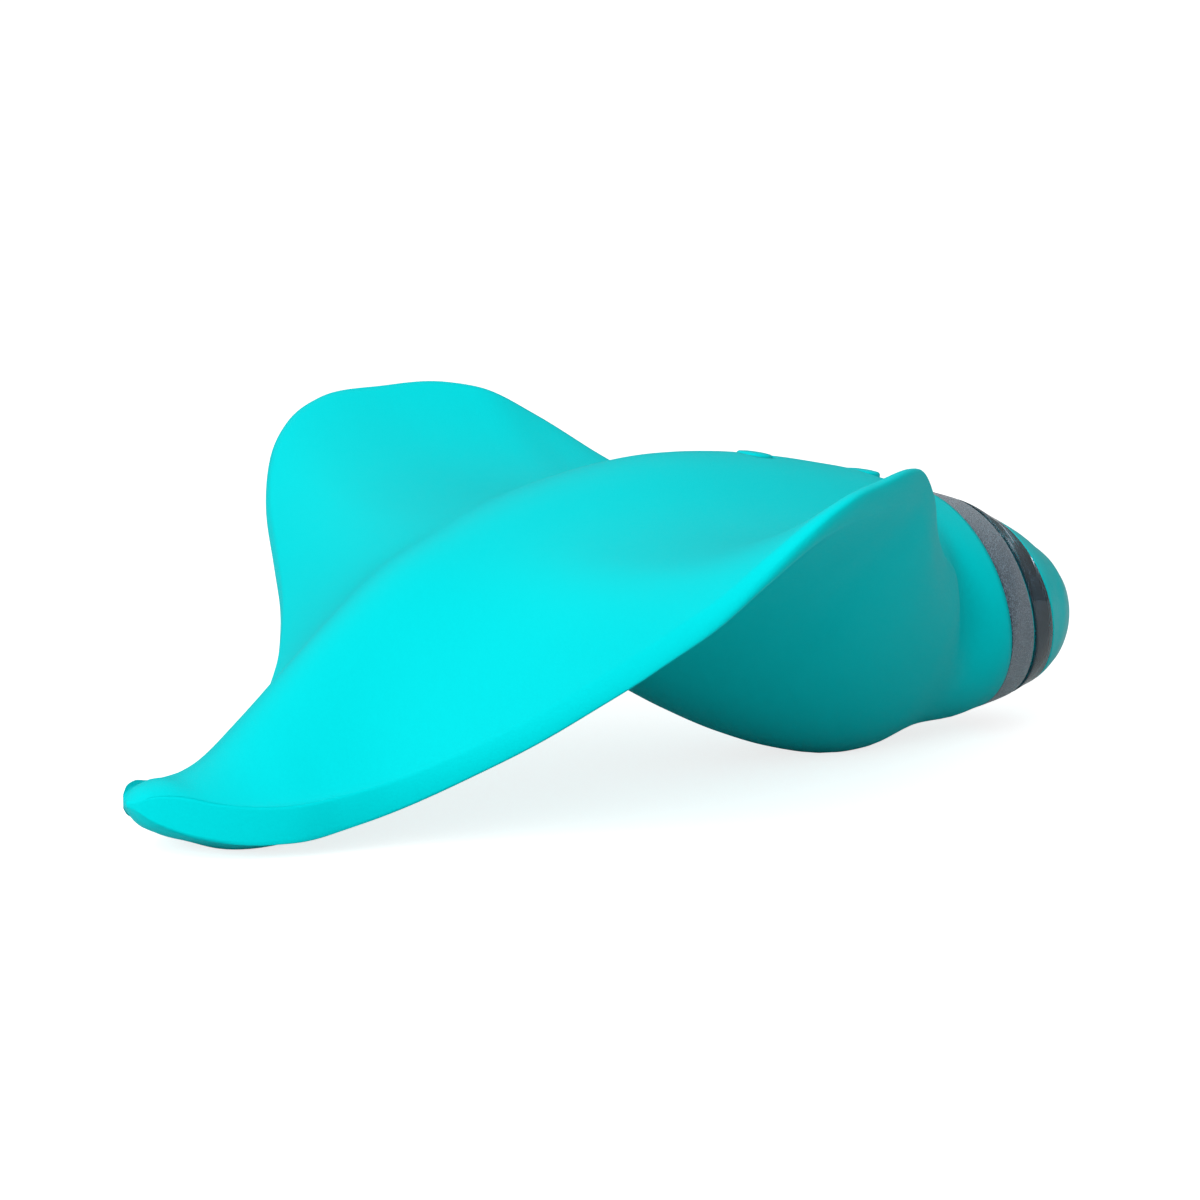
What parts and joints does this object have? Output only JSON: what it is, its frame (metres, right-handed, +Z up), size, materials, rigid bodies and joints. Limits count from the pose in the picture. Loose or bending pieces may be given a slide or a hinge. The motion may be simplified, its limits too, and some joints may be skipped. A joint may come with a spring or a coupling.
{
  "type": "handheld massager",
  "caption": "Ray-shaped rechargeable handheld massager: teal silicone body with curled wings, light ring and domed charging end.",
  "frame": {"origin": "centre of the bounding box in X and Y, on the plane that the nose and the belly rest on", "axes": "+X from the nose to the charging end, +Y towards one wing, +Z up with the massager lying on its belly"},
  "size_m": [0.1478, 0.112, 0.0461],
  "materials": {
    "teal_silicone": "satin soft-touch silicone",
    "teal_cap": "smooth semi-gloss",
    "white_abs": "fine moulded texture",
    "zinc_steel": "zinc plated",
    "ferrite": "sintered, dull",
    "tungsten": "sintered, satin",
    "nickel": "nickel plated",
    "copper_winding": "enamelled wire",
    "black_rubber": "matte",
    "gold_plate": "plated, polished",
    "red_wire": "soft wire insulation",
    "black_wire": "soft wire insulation",
    "blue_wire": "soft wire insulation",
    "battery_sleeve": "heat-shrink sleeve",
    "green_board": "solder mask",
    "black_plastic": "moulded",
    "led_lens": "clear lens over white body",
    "frosted_acrylic": "frosted, with fine sparkle",
    "smoked_acrylic": "polished, smoke tint"
  },
  "bodies": {
    "body": {"silicone_body": "teal_silicone", "chassis_upper": "white_abs", "chassis_lower": "white_abs", "chassis_screws": "zinc_steel", "motor_can": "zinc_steel", "motor_magnets": "ferrite", "motor_end_bell": "white_abs", "motor_boot": "black_rubber", "motor_terminals": "gold_plate", "motor_leads": "red_wire", "battery_cell": "battery_sleeve", "battery_tabs": "zinc_steel", "battery_leads": "black_wire", "battery_foam": "black_rubber", "main_board": "green_board", "board_chips": "black_plastic", "board_screws": "zinc_steel", "power_switch": "black_plastic", "mode_switch": "black_plastic", "led_board": "green_board", "leds": "led_lens", "led_leads": "blue_wire", "frosted_ring": "frosted_acrylic", "ring_gasket": "teal_silicone", "clear_ring": "smoked_acrylic", "tie_tube": "black_plastic", "end_cap": "teal_cap", "cap_seal": "black_rubber", "contact_board": "green_board", "contact_pins": "gold_plate", "dock_magnets": "nickel", "charge_leads": "red_wire"},
    "rotor": {"motor_shaft": "zinc_steel", "motor_armature": "copper_winding", "eccentric_weight": "tungsten"},
    "power_cap": {"power_button": "teal_silicone"},
    "power_stem": {"power_plunger": "white_abs"},
    "mode_cap": {"mode_button": "teal_silicone"},
    "mode_stem": {"mode_plunger": "white_abs"}
  },
  "joints": [
    {"name": "rotor_spin", "type": "hinge", "parent": "body", "child": "rotor", "pos_m": [0.00855, 0, 0.0245], "axis": [0.9848, 0, -0.1736], "continuous": true},
    {"name": "power_press", "type": "slide", "parent": "body", "child": "power_cap", "axis": [-0.1736, 0, -0.9848], "range_m": [0, 0.0004], "stiffness_N_per_m": 2000},
    {"name": "power_plunger_press", "type": "slide", "parent": "body", "child": "power_stem", "axis": [-0.1736, 0, -0.9848], "range_m": [0, 0.0004]},
    {"name": "mode_press", "type": "slide", "parent": "body", "child": "mode_cap", "axis": [-0.1736, 0, -0.9848], "range_m": [0, 0.0004], "stiffness_N_per_m": 2000},
    {"name": "mode_plunger_press", "type": "slide", "parent": "body", "child": "mode_stem", "axis": [-0.1736, 0, -0.9848], "range_m": [0, 0.0004]}
  ],
  "couplings": [
    {"joint": "power_plunger_press", "follows": "power_press", "ratio": 1},
    {"joint": "mode_plunger_press", "follows": "mode_press", "ratio": 1}
  ]
}
